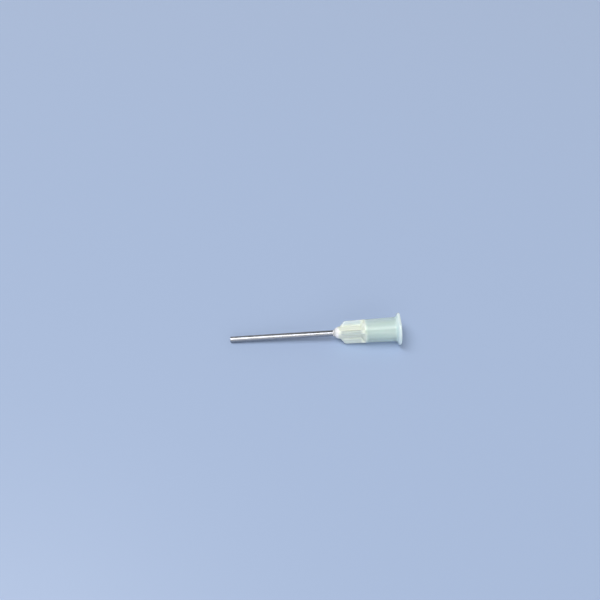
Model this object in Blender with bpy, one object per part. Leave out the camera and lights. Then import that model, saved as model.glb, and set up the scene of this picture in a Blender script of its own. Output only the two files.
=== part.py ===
"""Blunt cannula: a square-cut steel tube bonded into a moulded hub with a locking taper socket.

Metres, +Z up. The cannula lies as it comes to rest on a table, tip towards -X: the blunt tip and
one flat of the hub's flange touch the surface, so the axis climbs a little towards the hub. The
origin is on that surface, under the middle of the cannula's box.

Every piece is drawn along its own axis first: x runs from the blunt tip to the hub's open end,
y points at a locking lug and z at one of the flats between them. The rest_pose empty then lays
the pieces down.
"""

import math

import bmesh
import bpy
from mathutils import Vector

# Steel tube: 17 gauge, regular wall, nominally one inch from its tip to the hub
TUBE_DIAMETER = 0.001473
TUBE_WALL = 0.000203
TUBE_REACH = 0.0254
TUBE_EDGE_BREAK = 0.00005

# Hub, inside, from its nose to its open end
BORE_CLEARANCE = 0.00003
WELL_GAP = 0.00014
WELL_DEPTH = 0.0010
SEAT_DEPTH = 0.0056
STOP_LENGTH = 0.0006
FUNNEL_LENGTH = 0.00205
FLOOR_LEDGE = 0.0006
FLOOR_ROUND = 0.0003
SOCKET_DEPTH = 0.00775
SOCKET_DIAMETER = 0.0043
SOCKET_TAPER = 0.06
MOUTH_CHAMFER = 0.00015

# Hub, outside: nose, boss and fins
NOSE_LIP = 0.00005
NOSE_LENGTH = 0.00085
NOSE_ROUND = 0.00035
BOSS_WALL = 0.00072
FIN_COUNT = 4
FIN_THICKNESS = 0.0009
FIN_SETBACK = 0.00012
FIN_CHAMFER_LENGTH = 0.0012
FIN_CORNER_ROUND = 0.00015
FIN_EDGE_ROUND = 0.0001
FIN_ROOT_ROUND = 0.0002
POCKET_SLOPE = 0.0009
POCKET_ROUND = 0.0003
FLOOR_WALL = 0.00085

# Hub, outside: barrel, and flange with two locking lugs
BARREL_WALL = 0.00088
BARREL_TAPER = 0.0434
LUG_DIAMETER = 0.00783
LUG_FLAT_CUT = 0.0005
LUG_CREST = 0.0006
LUG_BEVEL = 0.0004
LUG_ROOT_ROUND = 0.0004
LUG_EDGE_ROUND = 0.0002

# Adhesive that bonds the tube into the hub, and the gap left round it
BEAD_REACH = 0.00035
BOND_GAP = 0.00002

# Facets: steps along each curve, and round half of one fin and its pocket
CURVE_STEPS = 4
TUBE_STEPS = 48
EDGE_STEPS = 2
ROOT_STEPS = 3
POCKET_STEPS = 5

# Lengths and radii that follow from the sizes above, measured from the hub's nose
TUBE_RADIUS = TUBE_DIAMETER / 2
TUBE_BORE_RADIUS = TUBE_RADIUS - TUBE_WALL
BORE_RADIUS = TUBE_RADIUS + BORE_CLEARANCE
WELL_RADIUS = BORE_RADIUS + WELL_GAP
BOSS_RADIUS = BORE_RADIUS + BOSS_WALL
LUG_RADIUS = LUG_DIAMETER / 2
SOCKET_FLOOR = SEAT_DEPTH + STOP_LENGTH + FUNNEL_LENGTH
HUB_LENGTH = SOCKET_FLOOR + SOCKET_DEPTH
FLANGE_ROOT = HUB_LENGTH - LUG_CREST - LUG_BEVEL
FIN_START = NOSE_LENGTH + NOSE_ROUND + FIN_SETBACK
POCKET_END = SOCKET_FLOOR - FLOOR_WALL
FIN_END = POCKET_END - POCKET_SLOPE
HALF_FIN_STEPS = 2 + EDGE_STEPS + ROOT_STEPS + POCKET_STEPS
SPOKES = 2 * HALF_FIN_STEPS * FIN_COUNT


def socket_radius(x):
    """Radius of the tapered socket's wall, which narrows from the mouth at x = HUB_LENGTH."""
    return (SOCKET_DIAMETER - SOCKET_TAPER * (HUB_LENGTH - x)) / 2


def barrel_radius(x):
    """Radius of the barrel's cone, which the outer edges of the fins carry on."""
    root_radius = socket_radius(FLANGE_ROOT) + BARREL_WALL
    return root_radius - BARREL_TAPER / 2 * (FLANGE_ROOT - x)


def eased(before, corner, after, reach):
    """The (x, radius) points of a curve that rounds a profile's corner, within reach of it."""
    before, corner, after = Vector(before), Vector(corner), Vector(after)
    start = corner + (before - corner).normalized() * reach
    end = corner + (after - corner).normalized() * reach
    points = []
    for step in range(CURVE_STEPS + 1):
        share = step / CURVE_STEPS
        point = start.lerp(corner, share).lerp(corner.lerp(end, share), share)
        points.append((point.x, point.y))
    return points


def polar(x, angle, radius):
    """A point on a section of the hub, its angle measured from the lug at +y towards +z."""
    return Vector((x, radius * math.cos(angle), radius * math.sin(angle)))


def round_ring(x, radius):
    return [polar(x, 2 * math.pi * spoke / SPOKES, radius) for spoke in range(SPOKES)]


def flange_ring(x, inset):
    """The flange at a height where the lugs stand this far in from their full radius.

    At their full radius its outline is a circle cut by two flats, and the flats and the lugs sink
    into the barrel in step. The spokes are spread so that one lands on each of the four corners.
    """
    barrel = barrel_radius(FLANGE_ROOT)
    share = 1 - inset / (LUG_RADIUS - barrel)
    flat = LUG_RADIUS - LUG_FLAT_CUT
    corner = math.asin(flat / LUG_RADIUS)
    quarter = math.pi / 2
    spacing = 2 * math.pi / SPOKES
    even_corner = spacing * round(corner / spacing)
    ring = []
    for spoke in range(SPOKES):
        quadrant = 4 * spoke // SPOKES
        within = spoke * spacing - quadrant * quarter
        mirrored = quadrant % 2 == 1
        within = quarter - within if mirrored else within
        if within < even_corner:
            spread = within * corner / even_corner
            reach = LUG_RADIUS
        else:
            spread = corner + (within - even_corner) * (quarter - corner) / (quarter - even_corner)
            reach = flat / math.sin(spread)
        spread = quarter - spread if mirrored else spread
        ring.append(polar(x, quadrant * quarter + spread, barrel + share * (reach - barrel)))
    return ring


def half_fin(crest_radius, floor_radius):
    """(angle, radius) from a fin's middle to the middle of the pocket beside it, one per spoke.

    They cross the fin's crest, its rounded edge and flat flank, its root curve and the floor.
    """
    half = FIN_THICKNESS / 2
    corners = [(crest_radius, 0.0)]
    for step in range(EDGE_STEPS + 1):
        turn = math.pi / 2 * step / EDGE_STEPS
        out = crest_radius - FIN_EDGE_ROUND * (1 - math.cos(turn))
        corners.append((out, half - FIN_EDGE_ROUND * (1 - math.sin(turn))))
    centre_radius = floor_radius + FIN_ROOT_ROUND
    root_end = math.asin((half + FIN_ROOT_ROUND) / centre_radius)
    centre_out = centre_radius * math.cos(root_end)
    for step in range(ROOT_STEPS + 1):
        turn = (math.pi / 2 - root_end) * step / ROOT_STEPS
        side = half + FIN_ROOT_ROUND - FIN_ROOT_ROUND * math.cos(turn)
        corners.append((centre_out - FIN_ROOT_ROUND * math.sin(turn), side))
    points = [(math.atan2(side, out), math.hypot(out, side)) for out, side in corners]
    return points + pocket_floor(root_end, floor_radius)


def half_fin_flush(radius):
    """As half_fin, on a round section: where the fin's chamfer starts, or where the pocket ends."""
    edge = math.asin(FIN_THICKNESS / 2 / radius)
    root_end = math.asin((FIN_THICKNESS / 2 + FIN_ROOT_ROUND) / (radius + FIN_ROOT_ROUND))
    inner = math.asin((FIN_THICKNESS / 2 - FIN_EDGE_ROUND) / radius)
    angles = [0.0]
    angles += [inner + (edge - inner) * step / EDGE_STEPS for step in range(EDGE_STEPS + 1)]
    for step in range(ROOT_STEPS + 1):
        angles.append(edge + (root_end - edge) * (step + 1) / (ROOT_STEPS + 1))
    return [(angle, radius) for angle in angles] + pocket_floor(root_end, radius)


def pocket_floor(root_end, floor_radius):
    """The floor, from the end of a fin's root curve to the middle of the pocket."""
    room = math.pi / FIN_COUNT - root_end
    steps = range(1, POCKET_STEPS + 1)
    return [(root_end + room * step / POCKET_STEPS, floor_radius) for step in steps]


def finned_ring(x, points):
    """A section through the fins, which stand midway between the lugs and the flats."""
    ring = []
    for spoke in range(SPOKES):
        fin, place = divmod(spoke, 2 * HALF_FIN_STEPS)
        offset = place - HALF_FIN_STEPS
        angle, radius = points[abs(offset)]
        fin_angle = 2 * math.pi * (fin + 0.5) / FIN_COUNT
        ring.append(polar(x, fin_angle + math.copysign(angle, offset), radius))
    return ring


def nose_rings():
    """A cone from the lip round the adhesive well, rounded into the boss."""
    face = (0.0, WELL_RADIUS + NOSE_LIP)
    shoulder = eased(face, (NOSE_LENGTH, BOSS_RADIUS), (FIN_START, BOSS_RADIUS), NOSE_ROUND)
    return [round_ring(x, radius) for x, radius in [face] + shoulder]


def fin_rings():
    """The fins, from the foot of their chamfer to the top of the slope that ends the pockets."""
    chamfer_end = FIN_START + FIN_CHAMFER_LENGTH
    crest = eased(
        (FIN_START, BOSS_RADIUS),
        (chamfer_end, barrel_radius(chamfer_end)),
        (FIN_END, barrel_radius(FIN_END)),
        FIN_CORNER_ROUND,
    )
    slope_top = (POCKET_END, barrel_radius(POCKET_END))
    floor = eased((FIN_START, BOSS_RADIUS), (FIN_END, BOSS_RADIUS), slope_top, POCKET_ROUND)
    shallow = FIN_EDGE_ROUND + FIN_ROOT_ROUND
    shallow_x = POCKET_END - shallow * POCKET_SLOPE / (slope_top[1] - BOSS_RADIUS)
    floor.append((shallow_x, slope_top[1] - shallow))
    rings = [finned_ring(FIN_START, half_fin_flush(BOSS_RADIUS))]
    rings += [finned_ring(x, half_fin(radius, BOSS_RADIUS)) for x, radius in crest]
    rings += [finned_ring(x, half_fin(barrel_radius(x), radius)) for x, radius in floor]
    rings.append(finned_ring(POCKET_END, half_fin_flush(slope_top[1])))
    return rings


def flange_rings():
    """From the barrel, the flare that the mating thread bears on, and the lugs' crest."""
    crest = HUB_LENGTH - LUG_CREST
    rise = LUG_RADIUS - barrel_radius(FLANGE_ROOT)
    barrel_start = (POCKET_END, LUG_RADIUS - barrel_radius(POCKET_END))
    root = eased(barrel_start, (FLANGE_ROOT, rise), (crest, 0.0), LUG_ROOT_ROUND)
    front = eased((FLANGE_ROOT, rise), (crest, 0.0), (HUB_LENGTH, 0.0), LUG_EDGE_ROUND)
    rear = eased((crest, 0.0), (HUB_LENGTH, 0.0), (HUB_LENGTH, rise), LUG_EDGE_ROUND)
    flare_start = root[0][0]
    rings = [round_ring(flare_start, barrel_radius(flare_start))]
    return rings + [flange_ring(x, inset) for x, inset in root[1:] + front + rear]


def bore_rings():
    """Inside, from the mouth to the nose: taper, floor, funnel, tube stop, bore and well."""
    mouth = HUB_LENGTH - MOUTH_CHAMFER
    floor_radius = socket_radius(SOCKET_FLOOR)
    funnel_radius = floor_radius - FLOOR_LEDGE
    profile = [(HUB_LENGTH, socket_radius(mouth) + MOUTH_CHAMFER), (mouth, socket_radius(mouth))]
    profile += eased(profile[1], (SOCKET_FLOOR, floor_radius), (SOCKET_FLOOR, funnel_radius), FLOOR_ROUND)
    profile += [
        (SOCKET_FLOOR, funnel_radius),
        (SEAT_DEPTH + STOP_LENGTH, TUBE_BORE_RADIUS),
        (SEAT_DEPTH, TUBE_BORE_RADIUS),
        (SEAT_DEPTH, BORE_RADIUS),
        (WELL_DEPTH, BORE_RADIUS),
        (0.0, WELL_RADIUS),
    ]
    return [round_ring(x, radius) for x, radius in profile]


def hub_rings():
    """Every section of the hub, out along its skin and back through its bore."""
    rings = nose_rings() + fin_rings() + flange_rings() + bore_rings()
    nose = Vector((TUBE_REACH, 0.0, 0.0))
    return [[point + nose for point in ring] for ring in rings]


def lofted(name, rings):
    """A closed skin through the rings, in order, and from the last back to the first."""
    bm = bmesh.new()
    loops = [[bm.verts.new(point) for point in ring] for ring in rings]
    for near, far in zip(loops, loops[1:] + loops[:1]):
        for i in range(len(near)):
            j = (i + 1) % len(near)
            bm.faces.new((near[i], near[j], far[j], far[i]))
    return finished(name, bm)


def spun(name, profile):
    """A ring-shaped piece: a closed (x, radius) profile spun about the axis."""
    bm = bmesh.new()
    corners = [bm.verts.new((x, 0.0, -radius)) for x, radius in profile]
    edges = [bm.edges.new((corners[i - 1], corners[i])) for i in range(len(corners))]
    bmesh.ops.spin(
        bm,
        geom=corners + edges,
        cent=(0.0, 0.0, 0.0),
        axis=(1.0, 0.0, 0.0),
        angle=2 * math.pi,
        steps=TUBE_STEPS,
        use_merge=True,
        use_normal_flip=False,
    )
    return finished(name, bm)


def finished(name, bm):
    """The object made from bm, with its faces turned out and its round sides shaded smooth."""
    bmesh.ops.recalc_face_normals(bm, faces=bm.faces)
    mesh = bpy.data.meshes.new(name)
    bm.to_mesh(mesh)
    bm.free()
    mesh.shade_smooth()
    mesh.set_sharp_from_angle(angle=math.radians(30))
    obj = bpy.data.objects.new(name, mesh)
    bpy.context.scene.collection.objects.link(obj)
    return obj


def steel_tube():
    """Cut square at both ends, with the edges broken. Its far end seats on the hub's stop."""
    end = TUBE_REACH + SEAT_DEPTH - BOND_GAP
    cut = TUBE_EDGE_BREAK
    profile = [
        (0.0, TUBE_BORE_RADIUS + cut),
        (0.0, TUBE_RADIUS - cut),
        (cut, TUBE_RADIUS),
        (end - cut, TUBE_RADIUS),
        (end, TUBE_RADIUS - cut),
        (end, TUBE_BORE_RADIUS + cut),
        (end - cut, TUBE_BORE_RADIUS),
        (cut, TUBE_BORE_RADIUS),
    ]
    return spun("cannula_tube", profile)


def adhesive():
    """Fills the hub's well round the tube, and climbs the tube in a hollow curve."""
    inner = TUBE_RADIUS + BOND_GAP
    outer = WELL_RADIUS - BOND_GAP
    tip_width = BOND_GAP
    depth = WELL_DEPTH * (outer - inner - tip_width) / WELL_GAP
    profile = [(TUBE_REACH + depth, inner), (TUBE_REACH + depth, inner + tip_width)]
    for step in range(2 * CURVE_STEPS + 1):
        turn = math.pi / 2 * (1 - step / (2 * CURVE_STEPS))
        radius = outer - (outer - inner - tip_width) * math.cos(turn)
        profile.append((TUBE_REACH - BEAD_REACH * (1 - math.sin(turn)), radius))
    profile.append((TUBE_REACH - BEAD_REACH, inner))
    return spun("adhesive_bead", profile)


def resting_tilt(rings):
    """How far the axis climbs when the tip's lower edge and the hub's lowest ring touch down."""
    slopes = []
    for ring in rings:
        for point in ring:
            slopes.append((-point.z - TUBE_RADIUS) / (point.x - TUBE_EDGE_BREAK))
    return math.atan(max(slopes))


def lay_down(pieces, tilt):
    """Parents the pieces to an empty that tilts them and stands them over the origin."""
    rest_pose = bpy.data.objects.new("rest_pose", None)
    bpy.context.scene.collection.objects.link(rest_pose)
    rest_pose.rotation_euler = (0.0, -tilt, 0.0)
    for piece in pieces:
        piece.parent = rest_pose
    bpy.context.view_layer.update()
    points = [piece.matrix_world @ vertex.co for piece in pieces for vertex in piece.data.vertices]
    along = [point.x for point in points]
    lowest = min(point.z for point in points)
    rest_pose.location = (-(min(along) + max(along)) / 2, 0.0, -lowest)


def surface(piece, name, colour, roughness, metallic, transmission):
    material = bpy.data.materials.new(name)
    material.use_nodes = True
    shader = material.node_tree.nodes["Principled BSDF"]
    shader.inputs["Base Color"].default_value = (*colour, 1.0)
    shader.inputs["Roughness"].default_value = roughness
    shader.inputs["Metallic"].default_value = metallic
    shader.inputs["Transmission Weight"].default_value = transmission
    piece.data.materials.append(material)


def main():
    for obj in list(bpy.data.objects):
        bpy.data.objects.remove(obj)
    rings = hub_rings()
    hub = lofted("hub", rings)
    tube = steel_tube()
    bead = adhesive()
    surface(hub, "natural_polypropylene", (0.74, 0.84, 0.79), 0.35, 0.0, 0.5)
    surface(tube, "stainless_steel", (0.60, 0.60, 0.62), 0.2, 1.0, 0.0)
    surface(bead, "clear_epoxy", (0.86, 0.88, 0.72), 0.15, 0.0, 0.5)
    lay_down([hub, tube, bead], resting_tilt(rings))


main()
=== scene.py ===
"""Looks of the blunt cannula: drawn steel tube, translucent moulded hub and a bead of adhesive."""

import math

import bmesh
import bpy
from mathutils import Matrix, Vector


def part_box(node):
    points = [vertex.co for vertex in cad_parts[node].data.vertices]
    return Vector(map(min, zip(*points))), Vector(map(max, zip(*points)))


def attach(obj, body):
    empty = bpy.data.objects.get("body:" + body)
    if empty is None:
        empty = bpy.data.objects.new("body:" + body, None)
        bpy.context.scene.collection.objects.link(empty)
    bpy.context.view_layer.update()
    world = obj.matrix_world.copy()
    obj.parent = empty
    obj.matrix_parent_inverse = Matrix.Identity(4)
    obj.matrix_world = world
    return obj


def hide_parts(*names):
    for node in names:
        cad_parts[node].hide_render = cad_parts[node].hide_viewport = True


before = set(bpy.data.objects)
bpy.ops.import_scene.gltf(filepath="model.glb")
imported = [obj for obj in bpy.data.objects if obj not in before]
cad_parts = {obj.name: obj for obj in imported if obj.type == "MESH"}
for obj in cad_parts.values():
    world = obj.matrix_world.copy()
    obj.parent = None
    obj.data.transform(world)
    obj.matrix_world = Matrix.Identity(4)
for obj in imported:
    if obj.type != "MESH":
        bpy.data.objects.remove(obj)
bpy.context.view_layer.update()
scene = bpy.context.scene
scene.view_settings.view_transform = "Standard"

# The photograph's view, centred on a point behind the cannula and a little to its left
CAMERA_AZIMUTH = math.radians(1.68)
CAMERA_ELEVATION = math.radians(47.0)
CAMERA_DISTANCE = 0.16226
CAMERA_RIGHT = -0.00377
CAMERA_UP = 0.00975
FRAME_PIXELS = 600
FOCAL_PIXELS = 660
SENSOR_WIDTH = 36.0
NEAREST = 0.01
FURTHEST = 10.0

# Light and floor: sizes in metres, power in watts
LIGHT_DISTANCE = 3.0
KEY_DIRECTION = Vector((-0.30, -0.165, 0.93)).normalized()
KEY_SIZE = (3.36, 1.45)
KEY_POWER = 80.0
FILL_DIRECTION = Vector((0.15, -0.85, 0.35)).normalized()
FILL_SIZE = (4.2, 1.2)
FILL_POWER = 18.0
ZENITH_STRENGTH = 0.18
HORIZON_STRENGTH = 0.62
FLOOR_COLOUR = (0.38, 0.48, 0.68)
FLOOR_ROUGHNESS = 0.4
FLOOR_SIZE = 4.0

# Borders of the hub's regions of painted light and shade: where each starts and where it is complete,
# in millimetres along the cannula from its tip, or for the fins from its axis. The fins' region ends
# where the pockets between them slope up, and a cloudy pattern shifts two borders by up to half the
# wander.
CORE_BORDER = (25.9, 26.6)
HOLLOW_BORDER = (32.5, 33.6)
RIM_BORDER = (39.7, 40.9)
FIN_BORDER = (1.5, 2.2)
FIN_FADE = (32.4, 31.4)
BORDER_WANDER = 0.8

# Regions of the hub: a colour, which is the plastic's own greenish white with painted light and shade
# on it (lighter painted tones at the nose, in the solid core and in the fins, painted shade in the hollow
# walls, a paler painted rim), and how much each region hides of what lies behind it. A shade is the
# share of the colour that a pattern's darkest tone keeps.
NOSE_TINT_AND_PAINTED_LIGHT = ((0.92, 0.97, 0.97), 1.0)
CORE_TINT_AND_PAINTED_LIGHT = ((0.87, 0.98, 0.81), 0.85)
FIN_TINT_AND_PAINTED_LIGHT = ((0.82, 0.95, 0.89), 0.5)
WALL_TINT_AND_PAINTED_SHADE = ((0.72, 0.85, 0.80), 0.5)
RIM_TINT_AND_PAINTED_LIGHT = ((0.78, 0.93, 0.93), 0.85)
STEEL_COLOUR = (0.36, 0.37, 0.40)
STEEL_SHADE = 0.88
EPOXY_COLOUR = (0.97, 0.97, 0.95)
EPOXY_SHADE = 0.94

# Patterns: features per millimetre, octaves of detail, and how strong the finer ones are. A
# stretch is how many times longer the features are along the cannula, across it and up.
CLOUDS = (0.9, 3.0, 0.5)
GRAIN = (14.0, 4.0, 0.6)
DRAWN_LINES = (9.0, 3.0, 0.65)
DULL_PATCHES = (0.8, 2.0, 0.5)
SWIRLS = (2.5, 2.0, 0.5)
LINE_STRETCH = (12.0, 0.5, 0.5)
PATCH_STRETCH = (3.0, 1.0, 1.0)

# The span of a pattern's values that a surface uses, and what they become on it: a roughness, or
# a height in metres
PATTERN_SPAN = (0.3, 0.7)
TONE_SPAN = (0.25, 0.75)
PATCH_SPAN = (0.35, 0.65)
HUB_ROUGHNESS = (0.16, 0.24)
STEEL_ROUGHNESS = (0.18, 0.28)
PATCH_ROUGHNESS = (0.0, 0.05)
EPOXY_ROUGHNESS = (0.05, 0.12)
GRAIN_HEIGHT = 0.000004
LINE_HEIGHT = 0.0000012
SWIRL_HEIGHT = 0.00001

MILLIMETRE = 0.001
WELD_DISTANCE = 1e-7
SMOOTH_ANGLE = math.radians(32)


def add_camera():
    forward = Vector((
        math.sin(CAMERA_AZIMUTH) * math.cos(CAMERA_ELEVATION),
        math.cos(CAMERA_AZIMUTH) * math.cos(CAMERA_ELEVATION),
        -math.sin(CAMERA_ELEVATION),
    ))
    right = Vector((math.cos(CAMERA_AZIMUTH), -math.sin(CAMERA_AZIMUTH), 0.0))
    up = right.cross(forward)
    data = bpy.data.cameras.new("camera")
    data.sensor_width = SENSOR_WIDTH
    data.lens = SENSOR_WIDTH * FOCAL_PIXELS / FRAME_PIXELS
    data.clip_start = NEAREST
    data.clip_end = FURTHEST
    camera = bpy.data.objects.new("camera", data)
    camera.rotation_euler = forward.to_track_quat("-Z", "Y").to_euler()
    camera.location = right * CAMERA_RIGHT + up * CAMERA_UP - forward * CAMERA_DISTANCE
    scene.collection.objects.link(camera)
    scene.camera = camera


def axis_frame():
    """Matrix of the cannula's own frame: origin at the middle of its tip, +X along the tube."""
    points = [v.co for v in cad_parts["cannula_tube"].data.vertices]
    low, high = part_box("cannula_tube")
    middle = (low.x + high.x) / 2
    halves = ([p for p in points if p.x < middle], [p for p in points if p.x >= middle])
    ends = [sum(half, Vector()) / len(half) for half in halves]
    along = (ends[1] - ends[0]).normalized()
    side = Vector((0.0, 1.0, 0.0))
    turn = Matrix((along, side, along.cross(side))).transposed().to_4x4()
    start = min((p - ends[0]).dot(along) for p in points)
    return Matrix.Translation(ends[0] + along * start) @ turn


AXIS = axis_frame()


def dressed(node, name, material):
    """A welded, smooth-shaded copy of a node's solid, which stands for it."""
    bm = bmesh.new()
    bm.from_mesh(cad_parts[node].data)
    bmesh.ops.remove_doubles(bm, verts=bm.verts, dist=WELD_DISTANCE)
    mesh = bpy.data.meshes.new(name)
    bm.to_mesh(mesh)
    bm.free()
    mesh.shade_smooth()
    mesh.set_sharp_from_angle(angle=SMOOTH_ANGLE)
    mesh.materials.append(material)
    piece = bpy.data.objects.new(name, mesh)
    scene.collection.objects.link(piece)
    weighted = piece.modifiers.new("even_normals", "WEIGHTED_NORMAL")
    weighted.keep_sharp = True
    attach(piece, "root")
    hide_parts(node)
    return piece


# The Mix node's two inputs and its output, by the kind of value
MIX_SOCKETS = {"FLOAT": (2, 3, 0), "RGBA": (6, 7, 2)}


class Nodes:
    """Short calls for building one material's node tree around its Principled shader."""

    def __init__(self, name):
        self.material = bpy.data.materials.new(name)
        self.material.use_nodes = True
        self.tree = self.material.node_tree
        self.shader = self.tree.nodes["Principled BSDF"]

    def add(self, kind, links=(), **values):
        node = self.tree.nodes.new(kind)
        for key, value in values.items():
            setattr(node, key, value)
        for socket, source in links:
            self.feed(node.inputs[socket], source)
        return node

    def feed(self, socket, source):
        """Links a node's output to the socket, or sets the socket to a plain value or (r, g, b)."""
        if isinstance(source, bpy.types.NodeSocket):
            self.tree.links.new(source, socket)
        elif socket.type == "RGBA":
            socket.default_value = (*source, 1.0)
        else:
            socket.default_value = source

    def set(self, **sockets):
        for name, source in sockets.items():
            self.feed(self.shader.inputs[name.replace("_", " ")], source)

    def own_frame(self, stretch=(1.0, 1.0, 1.0)):
        """Millimetres along the cannula, towards its lug and up, each divided by its stretch."""
        place = self.add("ShaderNodeTexCoord").outputs["Object"]
        return self.add(
            "ShaderNodeMapping",
            [("Vector", place), ("Location", AXIS.translation), ("Rotation", AXIS.to_euler()),
             ("Scale", [MILLIMETRE * part for part in stretch])],
            vector_type="TEXTURE",
        ).outputs["Vector"]

    def noise(self, where, scale, detail, roughness):
        return self.add(
            "ShaderNodeTexNoise",
            [("Vector", where), ("Scale", scale), ("Detail", detail), ("Roughness", roughness)],
        ).outputs["Fac"]

    def math(self, operation, first, second=0.0):
        return self.add("ShaderNodeMath", [(0, first), (1, second)], operation=operation).outputs[0]

    def ramp(self, value, start, end, low=0.0, high=1.0, smooth=True):
        """Low up to start, high from end, with an eased or even change between them."""
        return self.add(
            "ShaderNodeMapRange",
            [("Value", value), ("From Min", start), ("From Max", end), ("To Min", low), ("To Max", high)],
            interpolation_type="SMOOTHSTEP" if smooth else "LINEAR",
        ).outputs["Result"]

    def mix(self, kind, share, first, second):
        """Two numbers or two colours mixed, each an output or a plain value."""
        first_input, second_input, output = MIX_SOCKETS[kind]
        return self.add(
            "ShaderNodeMix",
            [(0, share), (first_input, first), (second_input, second)],
            data_type=kind,
        ).outputs[output]

    def bump(self, height, distance):
        """A normal from a height of 0 to 1, where 1 stands this many metres proud."""
        return self.add("ShaderNodeBump", [("Height", height), ("Distance", distance)]).outputs["Normal"]


def hub_material():
    """Natural polypropylene with painted light and shade by region: white at the nose, creamy where it is
    solid, darker and clearer in the walls.
    """
    m = Nodes("natural_polypropylene")
    place = m.own_frame()
    x, y, z = m.add("ShaderNodeSeparateXYZ", [(0, place)]).outputs
    radius = m.math("SQRT", m.math("ADD", m.math("MULTIPLY", y, y), m.math("MULTIPLY", z, z)))
    wander = m.math("SUBTRACT", m.noise(place, *CLOUDS), 0.5)
    along = m.math("ADD", x, m.math("MULTIPLY", wander, BORDER_WANDER))
    # Each region's colour is painted light or shade on the plastic's own tint: white at the nose, lighter
    # where the plastic is solid, darker in the hollow walls, paler at the rim.
    regions = [
        (m.ramp(along, *CORE_BORDER), CORE_TINT_AND_PAINTED_LIGHT),
        (m.math("MULTIPLY", m.ramp(radius, *FIN_BORDER), m.ramp(x, *FIN_FADE)), FIN_TINT_AND_PAINTED_LIGHT),
        (m.ramp(along, *HOLLOW_BORDER), WALL_TINT_AND_PAINTED_SHADE),
        (m.ramp(x, *RIM_BORDER), RIM_TINT_AND_PAINTED_LIGHT),
    ]
    colour, body = NOSE_TINT_AND_PAINTED_LIGHT
    for share, (region_colour, region_body) in regions:
        colour = m.mix("RGBA", share, colour, region_colour)
        body = m.mix("FLOAT", share, body, region_body)
    grain = m.noise(place, *GRAIN)
    m.set(
        Base_Color=colour,
        Alpha=body,
        Roughness=m.ramp(grain, *PATTERN_SPAN, *HUB_ROUGHNESS, smooth=False),
        Normal=m.bump(grain, GRAIN_HEIGHT),
        IOR=1.49,
        Subsurface_Weight=1.0,
        Subsurface_Radius=(1.0, 1.0, 1.0),
        Subsurface_Scale=0.0006,
        Coat_Weight=1.0,
        Coat_Roughness=0.2,
    )
    return m.material


def steel_material():
    """Drawn tube: fine lines along its length, with a few duller patches."""
    m = Nodes("drawn_stainless_steel")
    lines = m.noise(m.own_frame(LINE_STRETCH), *DRAWN_LINES)
    patches = m.noise(m.own_frame(PATCH_STRETCH), *DULL_PATCHES)
    m.set(
        Base_Color=m.mix(
            "RGBA",
            m.ramp(lines, *TONE_SPAN, smooth=False),
            [part * STEEL_SHADE for part in STEEL_COLOUR],
            STEEL_COLOUR,
        ),
        Metallic=1.0,
        Roughness=m.math(
            "ADD",
            m.ramp(lines, *PATTERN_SPAN, *STEEL_ROUGHNESS, smooth=False),
            m.ramp(patches, *PATCH_SPAN, *PATCH_ROUGHNESS),
        ),
        Normal=m.bump(lines, LINE_HEIGHT),
    )
    return m.material


def epoxy_material():
    """Cured adhesive, cloudy over the white well, with a few soft swirls."""
    m = Nodes("clear_epoxy")
    swirl = m.noise(m.own_frame(), *SWIRLS)
    m.set(
        Base_Color=m.mix("RGBA", swirl, EPOXY_COLOUR, [part * EPOXY_SHADE for part in EPOXY_COLOUR]),
        Roughness=m.ramp(swirl, *PATTERN_SPAN, *EPOXY_ROUGHNESS, smooth=False),
        Normal=m.bump(swirl, SWIRL_HEIGHT),
        IOR=1.52,
        Alpha=0.95,
        Subsurface_Weight=1.0,
        Subsurface_Radius=(1.0, 1.0, 1.0),
        Subsurface_Scale=0.00015,
    )
    return m.material


def add_floor():
    half = FLOOR_SIZE / 2
    mesh = bpy.data.meshes.new("floor")
    corners = [(-half, -half, 0.0), (half, -half, 0.0), (half, half, 0.0), (-half, half, 0.0)]
    mesh.from_pydata(corners, [], [(0, 1, 2, 3)])
    floor = bpy.data.objects.new("floor", mesh)
    scene.collection.objects.link(floor)
    m = Nodes("pale_sheet")
    m.set(Base_Color=FLOOR_COLOUR, Roughness=FLOOR_ROUGHNESS)
    mesh.materials.append(m.material)


def add_light(name, direction, size, power):
    data = bpy.data.lights.new(name, "AREA")
    data.shape = "RECTANGLE"
    data.size, data.size_y = size
    data.energy = power
    light = bpy.data.objects.new(name, data)
    light.location = direction * LIGHT_DISTANCE
    light.rotation_euler = (-direction).to_track_quat("-Z", "Y").to_euler()
    scene.collection.objects.link(light)


def add_world():
    world = bpy.data.worlds.new("studio")
    world.use_nodes = True
    tree = world.node_tree
    direction = tree.nodes.new("ShaderNodeTexCoord").outputs["Generated"]
    parts = tree.nodes.new("ShaderNodeSeparateXYZ")
    climb = tree.nodes.new("ShaderNodeMapRange")
    climb.interpolation_type = "SMOOTHSTEP"
    climb.inputs["To Min"].default_value = HORIZON_STRENGTH
    climb.inputs["To Max"].default_value = ZENITH_STRENGTH
    background = tree.nodes["Background"]
    background.inputs["Color"].default_value = (1.0, 1.0, 1.0, 1.0)
    tree.links.new(direction, parts.inputs["Vector"])
    tree.links.new(parts.outputs["Z"], climb.inputs["Value"])
    tree.links.new(climb.outputs["Result"], background.inputs["Strength"])
    scene.world = world


add_camera()
add_light("key", KEY_DIRECTION, KEY_SIZE, KEY_POWER)
add_light("fill", FILL_DIRECTION, FILL_SIZE, FILL_POWER)
add_world()
add_floor()
dressed("hub", "moulded_hub", hub_material())
dressed("cannula_tube", "steel_tube", steel_material())
dressed("adhesive_bead", "epoxy_bead", epoxy_material())
